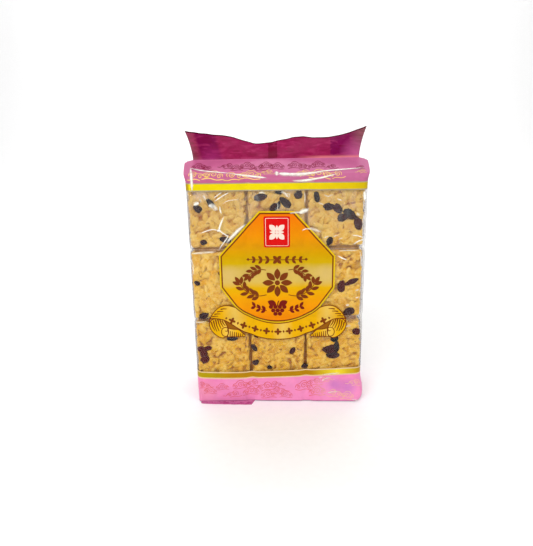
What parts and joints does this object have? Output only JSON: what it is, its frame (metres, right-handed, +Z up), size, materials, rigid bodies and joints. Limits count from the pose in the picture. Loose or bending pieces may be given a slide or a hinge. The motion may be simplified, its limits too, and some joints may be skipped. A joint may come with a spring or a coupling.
{
  "type": "sachima pack",
  "caption": "Upright gusseted clear film pack of wrapped sachima cakes with raisins, with printed bands, a plain label, a thin top seal and a flat base.",
  "frame": {"origin": "middle of the bounding box's footprint, on the surface that the pack stands on", "axes": "+Z up along the pack's height to the top seal, -Y out of the front with the label, +X to the right seen from the front"},
  "size_m": [0.1626, 0.067, 0.2567],
  "materials": {
    "film": "clear glossy film over golden cakes",
    "printed_film": "glossy pink printed film",
    "gold_print": "glossy gold ink on film",
    "label_print": "glossy orange to yellow print on film",
    "cake": "syrup-bound fried dough strands, slightly shiny",
    "raisin": "dark wrinkled dried fruit"
  },
  "bodies": {
    "root": {"sealed_bag": "film"}
  },
  "joints": []
}
